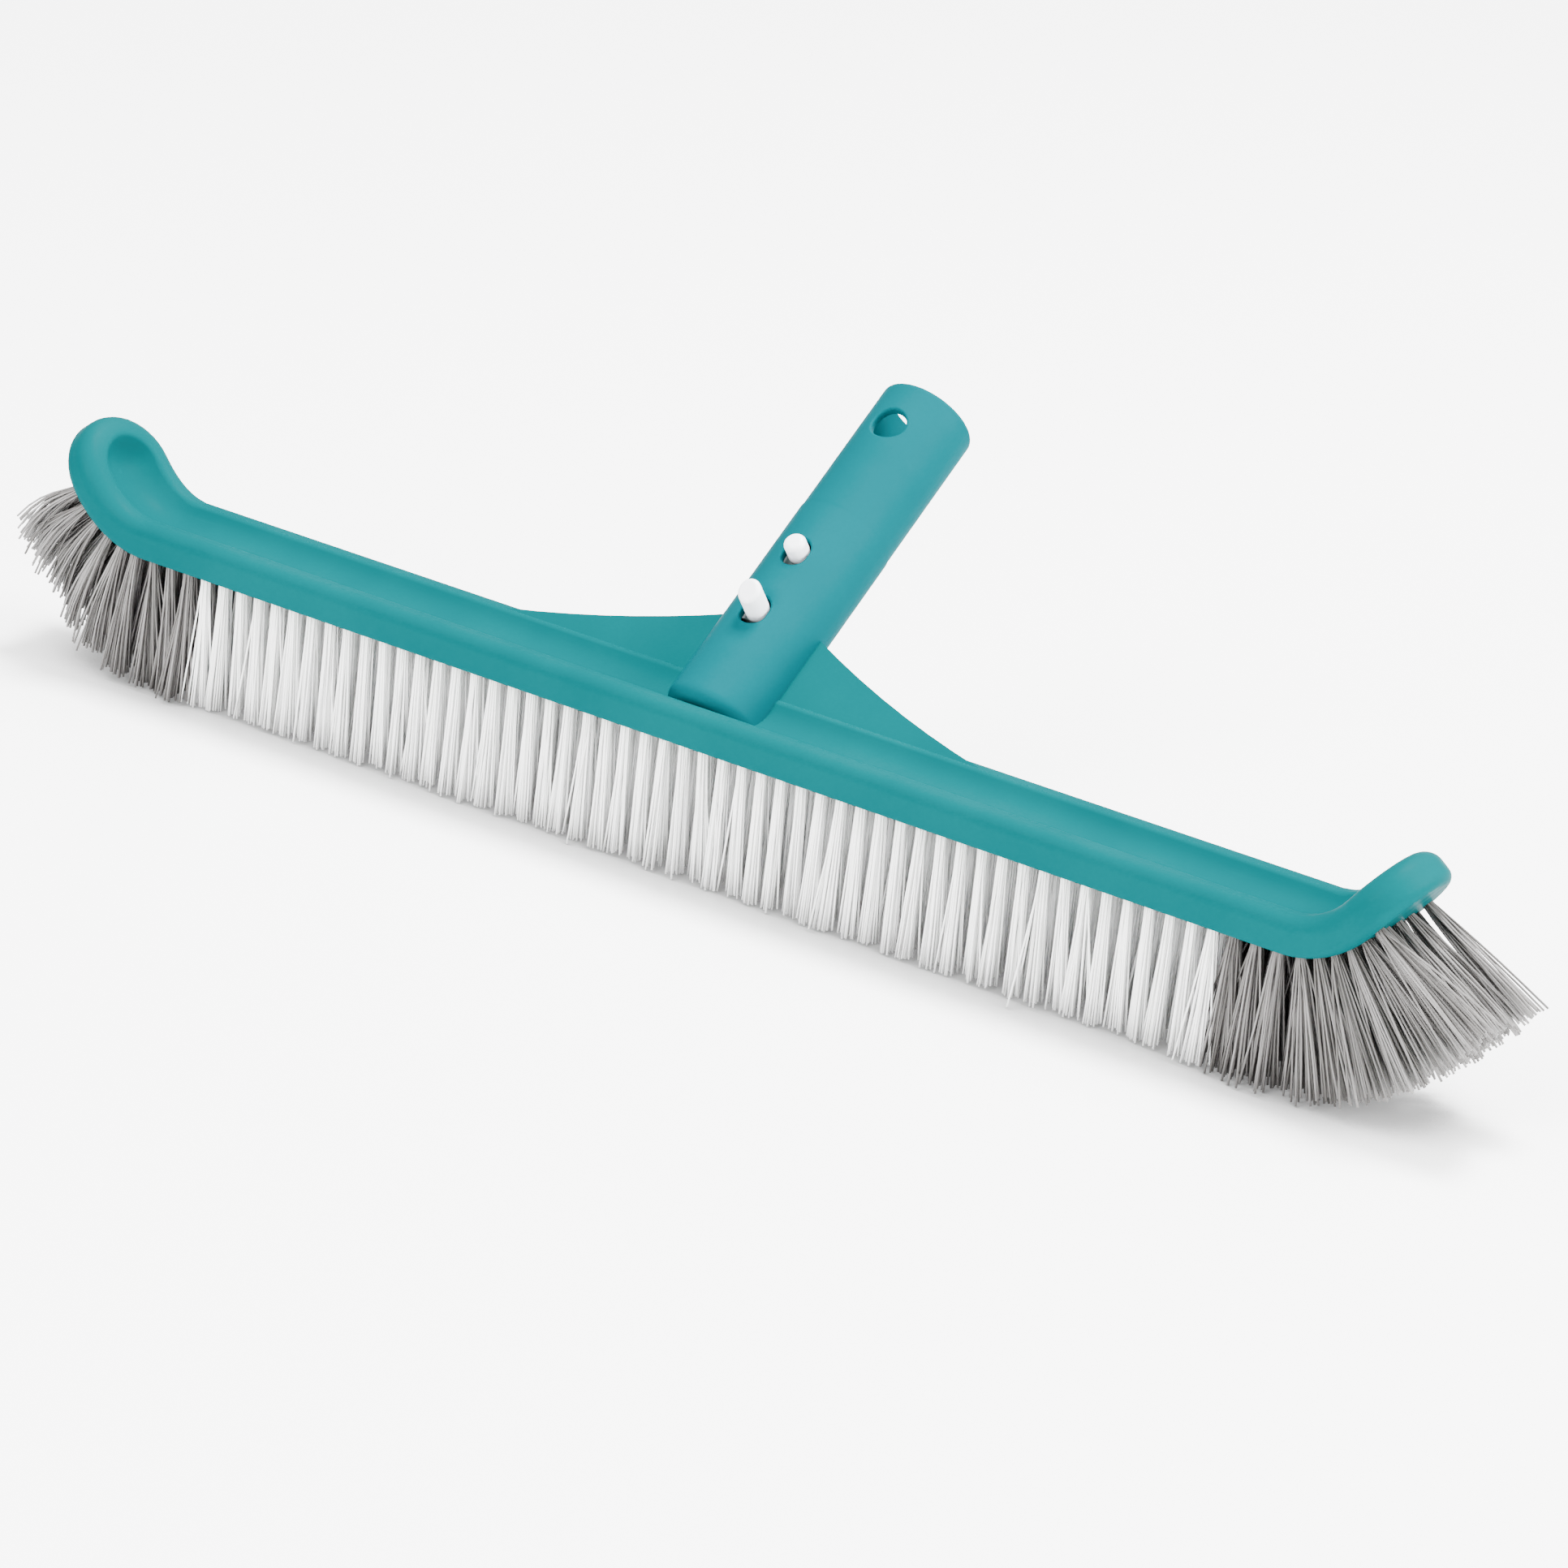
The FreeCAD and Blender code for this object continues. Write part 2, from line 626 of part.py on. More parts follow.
def make_anchors(row):
    """Metal staples at the bottom of the tuft holes of one row."""
    thick, wide, high = dim("anchor_thickness"), dim("anchor_width"), dim("anchor_height")
    corner = Vector(-wide / 2, -thick / 2, (dim("root_depth") + dim("hole_depth") - high) / 2)
    solids = []
    for place in all_stations(row):
        staple = Part.makeBox(wide, thick, high, corner)
        staple.Placement = place
        solids.append(staple)
    return shape_feature(f"tuft_anchors_row_{row}", Part.makeCompound(solids))


# ---------------------------------------------------------------- assembly and export

back, blank = make_back(make_tray(), make_webs())
nodes = [back, make_tube(blank), make_bend(), make_leg("front_clip_leg", 180.0),
         make_leg("rear_clip_leg", 0.0)]
for row_number in range(1, ROWS + 1):
    nodes.append(make_white_row(row_number))
    nodes.append(make_grey_row(row_number, "left", -1))
    nodes.append(make_grey_row(row_number, "right", 1))
    nodes.append(make_anchors(row_number))
doc.recompute()

for item in doc.Objects:
    if "Invalid" in item.State or "Error" in item.State:
        raise RuntimeError(f"{item.Name} did not recompute: {item.State}")

os.makedirs("parts", exist_ok=True)
for node in nodes:
    node.Label = node.Name
    shape = node.Shape
    if shape.isNull() or not shape.isValid():
        raise RuntimeError(f"{node.Name} has no valid shape")
    shape.exportStep(f"parts/{node.Name}.step")
    limits = shape.BoundBox
    print(f"{node.Name}: {len(shape.Solids)} solids, {shape.Volume:.0f} mm3,"
          f" X {limits.XMin:.1f}..{limits.XMax:.1f}, Y {limits.YMin:.1f}..{limits.YMax:.1f},"
          f" Z {limits.ZMin:.1f}..{limits.ZMax:.1f}")
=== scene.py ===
import json
import math

import bmesh
import bpy
import numpy as np
from mathutils import Matrix, Vector

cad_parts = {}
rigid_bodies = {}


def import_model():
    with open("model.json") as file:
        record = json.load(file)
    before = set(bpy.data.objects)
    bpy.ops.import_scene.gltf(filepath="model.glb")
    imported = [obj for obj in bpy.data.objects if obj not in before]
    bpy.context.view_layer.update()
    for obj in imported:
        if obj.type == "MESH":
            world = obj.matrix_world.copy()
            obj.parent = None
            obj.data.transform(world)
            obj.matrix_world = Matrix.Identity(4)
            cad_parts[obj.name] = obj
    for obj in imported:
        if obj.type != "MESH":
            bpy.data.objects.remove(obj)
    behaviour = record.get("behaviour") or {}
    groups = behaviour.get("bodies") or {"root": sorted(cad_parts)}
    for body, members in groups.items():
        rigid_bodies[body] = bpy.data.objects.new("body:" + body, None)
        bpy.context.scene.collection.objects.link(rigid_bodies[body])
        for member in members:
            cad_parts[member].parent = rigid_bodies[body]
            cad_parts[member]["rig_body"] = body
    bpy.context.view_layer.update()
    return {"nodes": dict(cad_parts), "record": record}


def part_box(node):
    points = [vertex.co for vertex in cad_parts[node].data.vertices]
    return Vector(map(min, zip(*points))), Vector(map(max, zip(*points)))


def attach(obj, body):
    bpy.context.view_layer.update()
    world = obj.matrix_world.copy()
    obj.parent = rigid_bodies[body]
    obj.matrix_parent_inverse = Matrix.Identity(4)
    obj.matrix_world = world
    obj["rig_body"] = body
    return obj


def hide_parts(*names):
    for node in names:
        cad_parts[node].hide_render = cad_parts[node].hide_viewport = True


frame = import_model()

# Pool wall brush in the row frame, in metres: X along the brush, Y away from the user, Z up, bristle
# tips on Z = 0. The moulded parts, the staples and the spring clip are the CAD nodes with better
# materials. Every row of tufts is replaced by its separate filaments, which start in the tuft holes
# found from the staples at their bottoms.

ROWS = 5
MM = 0.001
ACROSS = np.array((0.0, 1.0, 0.0))

# The bristle roots
STAPLE_ABOVE_FACE = 3.6 * MM      # middle of a staple from the face that the bristles leave
ROOT_DEPTH = 2.9 * MM             # how far the filaments go into the hole
WELD = 0.005 * MM

# The tube and the clip inside it
TUBE_FOOT = (0.0, -4.0 * MM, 39.0 * MM)   # where the tube's axis meets the bristle face
TUBE_RISE = 35.0                  # slope of its axis, degrees
CLIP_SHADED_WITHIN = 11.3 * MM    # the clip is painted dark, a painted shade, up to here from the axis
CLIP_UNSHADED_FROM = 12.6 * MM       # and free of the painted shade from here
CLIP_SHADED_UP_TO = 70.0 * MM     # the same along the axis, from the tube's foot
CLIP_UNSHADED_BEYOND = 80.0 * MM

# The filaments
FILAMENT_SIDES = 6
WALL_CORNERS = 4
GOLDEN_ANGLE = math.pi * (3.0 - math.sqrt(5.0))
FLOOR_GAP = 0.15 * MM             # the lowest tips are trimmed to about this height
THINNEST, THICKEST = 0.88, 1.08   # a filament's radius against the middling one
ROW_SPLAY = 0.05                  # how far the tips of a row stand out, as a share of the row's own Y
SEEDS = {"white": 100, "left": 200, "right": 300}   # plus the number of the row

# The studio
FLOOR_RADIUS = 6.0
FLOOR_GLOW = 1.3
SHADOW_REACH = 0.05               # how far the floor's painted shadow looks for what hides the sky
SHADED_GLOW = 0.15                # share of the glow that is left under the brush, a painted shade
WORLD_STRENGTH = 1.2
AIM = (0.0, 0.0, 0.05)            # what the lights face
LIGHTS = {                        # place, size, watts
    "key": ((-0.4, -2.0, 1.4), 1.2, 145.0),
    "fill": ((2.6, 0.6, 1.5), 1.6, 350.0),
    "top": ((0.0, 0.6, 2.0), 0.6, 190.0),
}


# ---------------------------------------------------------------- tuft places

def tuft_seats(node):
    """Mouths and outward directions of a row's tuft holes, read from the staples at their bottoms."""
    staples = bmesh.new()
    staples.from_mesh(frame["nodes"][node].data)
    bmesh.ops.remove_doubles(staples, verts=staples.verts, dist=WELD)
    seats, seen = [], set()
    for first in staples.verts:
        if first in seen:
            continue
        seen.add(first)
        todo, corners = [first], []
        while todo:
            vert = todo.pop()
            corners.append(vert.co[:])
            near = [edge.other_vert(vert) for edge in vert.link_edges]
            fresh = [other for other in near if other not in seen]
            seen.update(fresh)
            todo.extend(fresh)
        corners = np.array(corners)
        centre = corners.mean(axis=0)
        outward = np.linalg.svd(corners - centre)[2][1]  # a staple is wide, then high, then thin
        outward = outward if outward[2] < 0 else -outward
        seats.append((centre + outward * STAPLE_ABOVE_FACE, outward))
    staples.free()
    seats.sort(key=lambda seat: (round(seat[0][0], 5), round(seat[0][1], 5)))
    return seats


def lean_of(seat):
    """Angle between a tuft and straight down, degrees."""
    return math.degrees(math.acos(min(1.0, -seat[1][2])))


# ---------------------------------------------------------------- filaments

def filament_paths(seats, look, rng):
    """Centre lines of all filaments of the tufts: an array of (filament, station, xyz)."""
    tufts, each = len(seats), look["count"]
    total = tufts * each
    mouth = np.repeat([seat[0] for seat in seats], each, axis=0)
    outward = np.repeat([seat[1] for seat in seats], each, axis=0)
    along = np.cross(outward, ACROSS)
    side = np.repeat([look["side"](seat) for seat in seats], each)

    # Places in the hole: a sunflower spiral, turned at random in every tuft
    index = np.tile(np.arange(each), tufts)
    turn = index * GOLDEN_ANGLE + np.repeat(rng.uniform(0, 2 * math.pi, tufts), each)
    reach = look["root"] * np.sqrt((index + 0.5) / each)
    root = np.stack([reach * np.cos(turn), reach * np.sin(turn)], axis=1)

    # Where the tips go: the tuft flares, its filaments gather in clumps, a few stray
    clumps = rng.normal(0, 1, (tufts, look["clumps"], 3))
    clump = clumps[np.repeat(np.arange(tufts), each), rng.integers(0, look["clumps"], total)]
    tip = root * look["flare"] + clump[:, :2] * look["clump_spread"]
    tip += rng.normal(0, look["spread"], (total, 2))
    tip += np.repeat(rng.normal(0, look["tuft_lean"], (tufts, 2)), each, axis=0)
    stray = rng.random(total) < look["stray_share"]
    tip[stray] += rng.normal(0, look["stray_spread"], (stray.sum(), 2))
    tip[:, 1] += np.repeat([look["across"](seat) for seat in seats], each)
    length = np.repeat([look["length"](seat) for seat in seats], each) + clump[:, 2] * look["clump_length"]
    length -= np.abs(rng.normal(0, look["ragged"], total))

    lift = np.radians(np.repeat([look["lift"](seat) for seat in seats], each))
    droop = np.radians(np.repeat([look["droop"](seat) for seat in seats], each))
    lift = lift + np.radians(rng.normal(0, look["angle_spread"], total))
    wave = rng.uniform(0, look["wave"], total)
    phase = rng.uniform(0, 2 * math.pi, total)
    shares = np.array(look["stations"])

    def trace(length):
        """Paths of that length, from the bottom of the roots."""
        points = [mouth + along * root[:, :1] + ACROSS * root[:, 1:]]
        for before, after in zip(shares, shares[1:]):
            middle = (before + after) / 2
            bend = side * (lift * middle / (middle + look["lift_within"])
                           - droop * middle ** look["droop_power"])
            step = (length * (after - before))[:, None]
            heading = outward * np.cos(bend)[:, None] + along * np.sin(bend)[:, None]
            points.append(points[-1] + heading * step)
        paths = np.stack(points, axis=1)
        away = (shares ** look["flare_power"])[None, :]
        swing = wave[:, None] * np.sin(phase[:, None] + shares[None, :] * look["wave_turns"]) * away
        paths += along[:, None] * (tip[:, :1] * away + swing)[:, :, None]
        paths += ACROSS * (tip[:, 1:] * away)[:, :, None]
        return paths

    paths = trace(length)
    floor = FLOOR_GAP + np.abs(rng.normal(0, look["ragged"], total)) * look["floor_ragged"]
    top, low = paths[:, 0, 2], paths[:, -1, 2]
    paths = trace(length * np.minimum(1.0, (top - floor) / np.maximum(top - low, MM)))
    roots = paths[:, :1] - outward[:, None] * ROOT_DEPTH
    return np.concatenate([roots, paths], axis=1)


def filament_mesh(name, paths, radius, rng):
    """Thin tubes with flat cut ends; the tone varies by filament and the depth along it."""
    total, stations, _ = paths.shape
    tangent = np.gradient(paths, axis=1)
    tangent /= np.linalg.norm(tangent, axis=2, keepdims=True)
    first = ACROSS - tangent * (tangent @ ACROSS)[:, :, None]
    first /= np.linalg.norm(first, axis=2, keepdims=True)
    second = np.cross(tangent, first)
    thickness = radius * rng.uniform(THINNEST, THICKEST, total)[:, None, None]
    rings = []
    for corner in range(FILAMENT_SIDES):
        angle = 2 * math.pi * corner / FILAMENT_SIDES
        rings.append(paths + thickness * (first * math.cos(angle) + second * math.sin(angle)))
    points = np.stack(rings, axis=2).reshape(-1, 3)

    number = np.arange(total * stations * FILAMENT_SIDES).reshape(total, stations, FILAMENT_SIDES)
    following = np.roll(number, -1, axis=2)
    walls = np.stack([number[:, :-1], following[:, :-1], following[:, 1:], number[:, 1:]], axis=3)
    root_caps, tip_caps = number[:, 0, ::-1], number[:, -1]
    corners = np.concatenate([walls.ravel(), root_caps.ravel(), tip_caps.ravel()])
    wall_count = walls.size // WALL_CORNERS
    sizes = np.concatenate([np.full(wall_count, WALL_CORNERS), np.full(2 * total, FILAMENT_SIDES)])

    mesh = bpy.data.meshes.new(name)
    mesh.vertices.add(len(points))
    mesh.vertices.foreach_set("co", points.astype(np.float32).ravel())
    mesh.loops.add(len(corners))
    mesh.loops.foreach_set("vertex_index", corners.astype(np.int32))
    mesh.polygons.add(len(sizes))
    mesh.polygons.foreach_set("loop_start", (np.cumsum(sizes) - sizes).astype(np.int32))
    mesh.update(calc_edges=True)
    mesh.polygons.foreach_set("use_smooth", sizes == WALL_CORNERS)
    tone = mesh.attributes.new("tone", "FLOAT", "POINT")
    tones = np.repeat(rng.random(total), stations * FILAMENT_SIDES)
    tone.data.foreach_set("value", tones.astype(np.float32))
    depth = mesh.attributes.new("depth", "FLOAT", "POINT")
    share = np.repeat(np.linspace(0, 1, stations), FILAMENT_SIDES)
    depth.data.foreach_set("value", np.tile(share, total).astype(np.float32))
    mesh.validate()
    return mesh


def make_bristles(name, node, seats, look, finish, seed):
    """One row of bristles, which stands for its CAD node."""
    rng = np.random.default_rng(seed)
    mesh = filament_mesh(name, filament_paths(seats, look, rng), look["radius"], rng)
    mesh.materials.append(finish)
    bristles = bpy.data.objects.new(name, mesh)
    bpy.context.scene.collection.objects.link(bristles)
    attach(bristles, frame["nodes"][node]["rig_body"])
    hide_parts(node)
    return bristles


# ---------------------------------------------------------------- material helpers

def new_material(name):
    """An empty node material: its tree, its Principled shader and a maker of nodes."""
    material = bpy.data.materials.new(name)
    material.use_nodes = True
    tree = material.node_tree
    tree.nodes.clear()

    def add(kind, inputs=None, **settings):
        """A node of that kind, with its settings and its inputs, which are values or sockets."""
        node = tree.nodes.new("ShaderNode" + kind)
        for key, value in settings.items():
            setattr(node, key, value)
        for key, value in (inputs or {}).items():
            if isinstance(value, bpy.types.NodeSocket):
                tree.links.new(value, node.inputs[key])
            else:
                node.inputs[key].default_value = value
        return node

    shader = add("BsdfPrincipled")
    output = add("OutputMaterial")
    tree.links.new(shader.outputs[0], output.inputs["Surface"])
    return material, shader, add


def connect(shader, **sockets):
    """Values or sockets into a shader, by input name with _ for a space."""
    for key, value in sockets.items():
        target = shader.inputs[key.replace("_", " ")]
        if isinstance(value, bpy.types.NodeSocket):
            shader.id_data.links.new(value, target)
        else:
            target.default_value = value


def noise(add, place, scale, detail=2.0, stretch=None):
    """A noise value over a place; stretch squeezes the pattern along the axes."""
    if stretch:
        place = add("Mapping", {"Vector": place, "Scale": stretch}).outputs[0]
    return add("TexNoise", {"Vector": place, "Scale": scale, "Detail": detail}).outputs["Fac"]


def remap(add, value, low, high, to_low, to_high):
    """A value moved from one range to another, clamped."""
    return add("MapRange", {"Value": value, "From Min": low, "From Max": high,
                            "To Min": to_low, "To Max": to_high}).outputs[0]


def blend_colours(add, share, colour_a, colour_b):
    """Colour a where the share is 0, colour b where it is 1."""
    mix = add("Mix", {"Factor": share}, data_type="RGBA")
    for socket, colour in ((mix.inputs[6], colour_a), (mix.inputs[7], colour_b)):
        if isinstance(colour, bpy.types.NodeSocket):
            mix.id_data.links.new(colour, socket)
        else:
            socket.default_value = (*colour, 1.0)
    return mix.outputs[2]


# ---------------------------------------------------------------- materials

EVEN = (1.0, 1.0, 1.0)            # light that scatters alike in red, green and blue

# Noise scales are per metre. A remap is given as from low, from high, to low, to high.

def moulded_plastic(name, base, deep, pale, roughness, specular, grain):
    """Satin moulded plastic: cloudy colour, fine mottling, faint scuffs and a spark-eroded grain."""
    material, shader, add = new_material(name)
    place = add("TexCoord").outputs["Object"]
    cloud = remap(add, noise(add, place, 28.0, 3.0), 0.35, 0.65, 0.0, 1.0)
    mottle = noise(add, place, 850.0, 3.0)
    flow = noise(add, place, 90.0, 2.0, (0.4, 1.0, 1.0))
    colour = blend_colours(add, cloud, base, deep)
    speckle = remap(add, mottle, 0.38, 0.62, 0.0, 0.22)
    colour = blend_colours(add, speckle, colour, deep)
    streak = remap(add, flow, 0.45, 0.8, 0.0, 0.10)
    colour = blend_colours(add, streak, colour, pale)
    scratch = noise(add, place, 420.0, 1.0, (0.06, 1.0, 0.5))
    scuff = remap(add, scratch, 0.73, 0.82, 0.0, 0.2)
    colour = blend_colours(add, scuff, colour, pale)
    low, high = roughness
    rough = remap(add, noise(add, place, 240.0, 3.0), 0.3, 0.7, low, high)
    fine = noise(add, place, 2600.0, 2.0)
    height = add("Math", {0: fine, 1: mottle}, operation="ADD").outputs[0]
    bump = add("Bump", {"Strength": grain, "Distance": 0.05 * MM, "Height": height})
    connect(shader, Base_Color=colour, Roughness=rough, Normal=bump.outputs[0])
    connect(shader, Specular_IOR_Level=specular)
    return material


def nylon(name, base, shade, shadow, roughness):
    """White moulded nylon: waxy, with a soft grain, and painted dark, a painted shade, where it lies
    inside the tube.
    """
    material, shader, add = new_material(name)
    place = add("TexCoord").outputs["Object"]
    cloud = remap(add, noise(add, place, 180.0, 3.0), 0.35, 0.65, 0.0, 1.0)
    colour = blend_colours(add, cloud, base, shade)
    level = add("VectorRotate", {"Vector": place, "Center": TUBE_FOOT, "Axis": (1.0, 0.0, 0.0),
                                 "Angle": -math.radians(TUBE_RISE)}).outputs[0]
    offset = add("VectorMath", {0: level, 1: TUBE_FOOT}, operation="SUBTRACT").outputs[0]
    across = add("VectorMath", {0: offset, 1: (1.0, 0.0, 1.0)}, operation="MULTIPLY").outputs[0]
    away = add("VectorMath", {0: across}, operation="LENGTH").outputs["Value"]
    inside = remap(add, away, CLIP_SHADED_WITHIN, CLIP_UNSHADED_FROM, 1.0, 0.0)
    along = add("SeparateXYZ", {0: offset}).outputs["Y"]
    lower = remap(add, along, CLIP_SHADED_UP_TO, CLIP_UNSHADED_BEYOND, 1.0, 0.0)
    shaded = add("Math", {0: inside, 1: lower}, operation="MULTIPLY").outputs[0]
    # painted shade: the clip's colour is darkened inside the tube, where the bore would shade it
    colour = blend_colours(add, shaded, colour, shadow)
    low, high = roughness
    rough = remap(add, noise(add, place, 900.0, 2.0), 0.3, 0.7, low, high)
    grain = noise(add, place, 1500.0, 3.0)
    bump = add("Bump", {"Strength": 0.12, "Distance": 0.03 * MM, "Height": grain})
    connect(shader, Base_Color=colour, Roughness=rough, Normal=bump.outputs[0])
    connect(shader, Subsurface_Weight=0.25, Subsurface_Radius=EVEN, Subsurface_Scale=1.2 * MM)
    return material


def filament_nylon(name, light, dark, root, root_shade_reach, roughness, scatter):
    """Extruded filaments: each its own tone, with painted shade darkening them between the roots, faint
    draw lines along them.
    """
    material, shader, add = new_material(name)
    place = add("TexCoord").outputs["Object"]
    tone = add("Attribute", attribute_name="tone").outputs["Fac"]
    depth = add("Attribute", attribute_name="depth").outputs["Fac"]
    colour = blend_colours(add, tone, light, dark)
    # painted shade: the filaments darken towards their roots, where the tufts shade each other
    painted_root_shade = remap(add, depth, 0.0, root_shade_reach, 1.0, 0.0)
    colour = blend_colours(add, painted_root_shade, colour, root)
    lines = noise(add, place, 1100.0, 2.0, (1.0, 1.0, 0.08))
    tint = remap(add, lines, 0.4, 0.75, 0.0, 0.3)
    colour = blend_colours(add, tint, colour, dark)
    low, high = roughness
    rough = remap(add, tone, 0.0, 1.0, low, high)
    bump = add("Bump", {"Strength": 0.15, "Distance": 0.02 * MM, "Height": lines})
    connect(shader, Base_Color=colour, Roughness=rough, Normal=bump.outputs[0])
    connect(shader, Subsurface_Weight=scatter, Subsurface_Radius=EVEN, Subsurface_Scale=0.8 * MM)
    return material


def staple_metal():
    """Flat stainless wire with draw lines."""
    material, shader, add = new_material("stainless_staples")
    place = add("TexCoord").outputs["Object"]
    lines = noise(add, place, 3000.0, 2.0, (0.1, 1.0, 1.0))
    colour = blend_colours(add, lines, (0.62, 0.62, 0.63), (0.42, 0.42, 0.44))
    rough = remap(add, lines, 0.3, 0.7, 0.25, 0.45)
    connect(shader, Base_Color=colour, Roughness=rough, Metallic=1.0)
    return material


def studio_floor():
    """Pale, slightly glossy table, nearly white in this light, with a painted shadow darkening its colour
    and its glow close under the brush.
    """
    material, shader, add = new_material("studio_floor")
    place = add("TexCoord").outputs["Object"]
    cloud = noise(add, place, 3.0, 2.0)
    colour = blend_colours(add, cloud, (0.90, 0.90, 0.90), (0.93, 0.93, 0.93))
    # painted shadow: the floor's colour and glow darken where the brush hides the sky
    open_sky = add("AmbientOcclusion", {"Distance": SHADOW_REACH}).outputs["AO"]
    floor_painted_shadow = remap(add, open_sky, 0.42, 0.72, 1.0, 0.0)
    colour = blend_colours(add, floor_painted_shadow, colour, (0.22, 0.22, 0.22))
    connect(shader, Base_Color=colour, Roughness=0.35, Emission_Color=(1.0, 1.0, 1.0, 1.0))
    glow = remap(add, open_sky, 0.35, 1.0, SHADED_GLOW * FLOOR_GLOW, FLOOR_GLOW)
    connect(shader, Emission_Strength=glow)
    return material


# ---------------------------------------------------------------- how the bristles stand

def outward_side(seat):
    """-1 on the left half of the brush and 1 on the right."""
    return -1.0 if seat[0][0] < 0 else 1.0


def row_splay(seat):
    """How far the tips of a row stand away from the middle of the brush, metres."""
    return ROW_SPLAY * seat[0][1]


# A look says how the filaments of a tuft stand. Lengths are in metres and angles in degrees.
#   count, radius, root         filaments in a tuft, their radius, the radius of the disc of roots
#   stations                    places of a path's points, as shares of the filament's length
#   flare, flare_power          how far tips spread, as a multiple of the roots, and how late
#   clumps, clump_spread,       groups in a tuft, and how far the tips and the lengths of the
#   clump_length                  groups differ
#   spread, tuft_lean           how far single tips and whole tufts differ
#   stray_share, stray_spread   share of strays, and how far they stray
#   ragged, floor_ragged        how much shorter some are, and a multiple of that over the floor
#   angle_spread, wave,         how far headings differ, the largest sideways swing, and its
#   wave_turns                    radians along the filament
#   lift, lift_within           turn away from the brush's middle, and where half of it is reached
#   droop, droop_power          turn back down, and the power of the share that it grows with
#   side, across                which way is outward, and how far the tips shift along Y
WHITE = dict(
    count=30, radius=0.27 * MM, root=1.26 * MM, length=lambda seat: 39.0 * MM,
    stations=(0.0, 0.12, 0.3, 0.52, 0.76, 1.0),
    flare=0.7, flare_power=1.15, clumps=5, clump_spread=0.75 * MM, clump_length=0.7 * MM,
    spread=0.26 * MM, tuft_lean=0.5 * MM, stray_share=0.06, stray_spread=1.9 * MM, ragged=0.4 * MM,
    floor_ragged=1.3, angle_spread=0.3, wave=0.12 * MM, wave_turns=7.0, lift_within=0.1, droop_power=1.5,
    side=outward_side, across=row_splay, lift=lambda seat: 0.0, droop=lambda seat: 0.0,
)


def grey_look(shrink, lift, droop, **end):
    """Grey filaments of one end: softer than the white ones, so they splay, cross and droop.

    How much shorter they are, in mm, and how far they lift and droop go by each degree of lean.
    """
    return dict(
        WHITE, count=38, radius=0.31 * MM, root=1.22 * MM,
        length=lambda seat: 39.5 * MM - shrink * MM * lean_of(seat),
        stations=(0.0, 0.1, 0.24, 0.4, 0.58, 0.78, 1.0), clump_length=0.9 * MM,
        tuft_lean=0.7 * MM, stray_share=0.2, stray_spread=2.6 * MM, ragged=0.5 * MM,
        angle_spread=2.6, wave=0.35 * MM, wave_turns=6.0,
        lift=lambda seat: lift * lean_of(seat), droop=lambda seat: droop * lean_of(seat), **end,
    )


GREY = {
    "left": grey_look(shrink=0.235, lift=0.22, droop=0.75, flare=1.9, flare_power=1.15,
                      clump_spread=1.6 * MM, spread=0.5 * MM),
    "right": grey_look(shrink=0.03, lift=0.12, droop=0.08, flare=2.5, flare_power=0.85,
                       clump_spread=1.3 * MM, spread=0.8 * MM),
}


# ---------------------------------------------------------------- building

teal_back = moulded_plastic("satin_teal_back", (0.0, 0.057, 0.062), (0.0, 0.051, 0.056),
                            (0.0, 0.064, 0.069), (0.38, 0.50), 0.004, 0.30)
teal_tube = moulded_plastic("satin_teal_tube", (0.0, 0.058, 0.069), (0.0, 0.053, 0.063),
                            (0.0, 0.064, 0.076), (0.36, 0.48), 0.002, 0.25)
# the clip's third colour is the painted shade inside the tube
white_clip = nylon("white_nylon_clip", (0.84, 0.85, 0.88), (0.80, 0.82, 0.87),
                   (0.03, 0.05, 0.05), (0.28, 0.40))
# the third colour of each filament finish is the painted shade at the roots
white_filament = filament_nylon("white_filaments", (0.97, 0.97, 0.97), (0.88, 0.89, 0.87),
                                (0.36, 0.40, 0.36), 0.50, (0.32, 0.48), 0.15)
grey_filament = filament_nylon("grey_filaments", (0.185, 0.178, 0.174), (0.062, 0.058, 0.054),
                               (0.022, 0.020, 0.017), 0.5, (0.34, 0.50), 0.0)
steel = staple_metal()

finishes = {"back": teal_back, "tube": teal_tube, "clip": white_clip, "staples": steel,
            "white_bristles": white_filament, "grey_bristles": grey_filament}
for part in frame["record"]["subparts"]:
    for material_slot in frame["nodes"][part["node"]].material_slots:
        material_slot.material = finishes[part["material_slot"]]

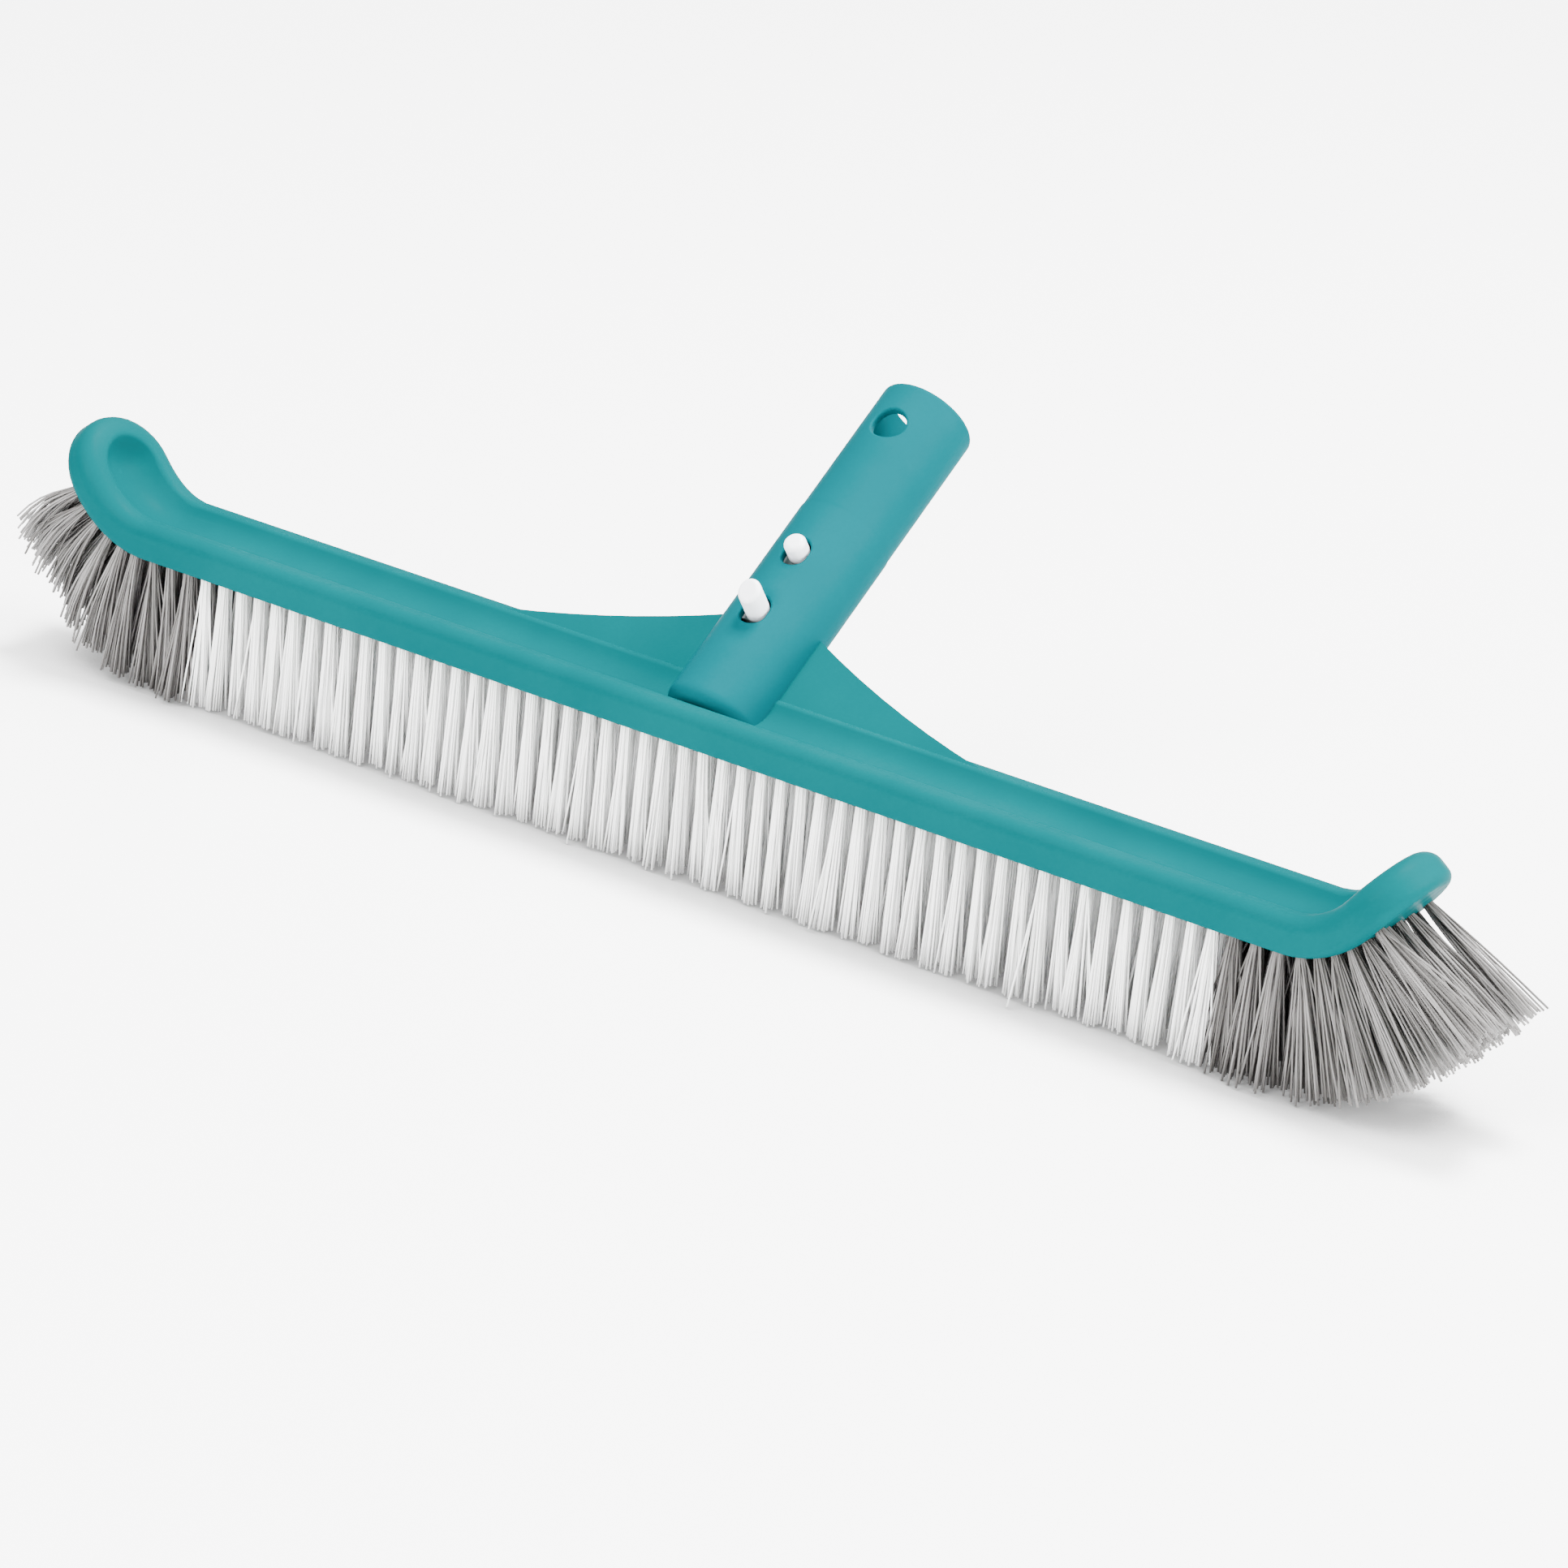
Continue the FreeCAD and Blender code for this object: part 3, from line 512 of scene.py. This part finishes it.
for row in range(1, ROWS + 1):
    seats = tuft_seats(f"tuft_anchors_row_{row}")
    low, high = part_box(f"white_tufts_row_{row}")
    white = [seat for seat in seats if low.x < seat[0][0] < high.x]
    bristles = make_bristles(f"white_bristles_row_{row}", f"white_tufts_row_{row}", white,
                             WHITE, white_filament, SEEDS["white"] + row)
    for end, beyond in (("left", lambda x: x < low.x), ("right", lambda x: x > high.x)):
        grey = [seat for seat in seats if beyond(seat[0][0])]
        bristles = make_bristles(f"grey_bristles_{end}_row_{row}", f"grey_tufts_{end}_row_{row}",
                                 grey, GREY[end], grey_filament, SEEDS[end] + row)


# ---------------------------------------------------------------- studio

def area_light(name, place, size, power):
    """A square soft white light that faces the brush."""
    light = bpy.data.lights.new(name, "AREA")
    light.size = size
    light.energy = power
    lamp = bpy.data.objects.new(name, light)
    lamp.location = place
    lamp.rotation_euler = (Vector(AIM) - Vector(place)).to_track_quat("-Z", "Y").to_euler()
    bpy.context.scene.collection.objects.link(lamp)


def make_floor():
    """A wide round table under the brush."""
    disc = bmesh.new()
    bmesh.ops.create_circle(disc, cap_ends=True, radius=FLOOR_RADIUS, segments=96)
    mesh = bpy.data.meshes.new("floor")
    disc.to_mesh(mesh)
    disc.free()
    mesh.materials.append(studio_floor())
    floor = bpy.data.objects.new("floor", mesh)
    bpy.context.scene.collection.objects.link(floor)


def make_world(strength):
    """Even white surroundings."""
    world = bpy.data.worlds.new("studio")
    world.use_nodes = True
    background = world.node_tree.nodes["Background"]
    background.inputs["Color"].default_value = (1.0, 1.0, 1.0, 1.0)
    background.inputs["Strength"].default_value = strength
    bpy.context.scene.world = world


def make_camera():
    """The camera of the reference view, from its place and its own axes."""
    data = bpy.data.cameras.new("camera")
    data.sensor_width = 36.0
    data.lens = 145.46
    camera = bpy.data.objects.new("camera", data)
    place = Vector((0.91666, -1.31386, 0.67653))
    right = Vector((0.80697, 0.58547, 0.07761))
    up = Vector((-0.28004, 0.26362, 0.92308))
    backward = Vector((0.51998, -0.76663, 0.37669))
    axes = Matrix((right, up, backward)).transposed().to_4x4()
    camera.matrix_world = Matrix.Translation(place) @ axes
    bpy.context.scene.collection.objects.link(camera)
    bpy.context.scene.camera = camera


make_floor()
make_world(WORLD_STRENGTH)
for light_name, (light_place, light_size, watts) in LIGHTS.items():
    area_light(light_name, light_place, light_size, watts)
make_camera()
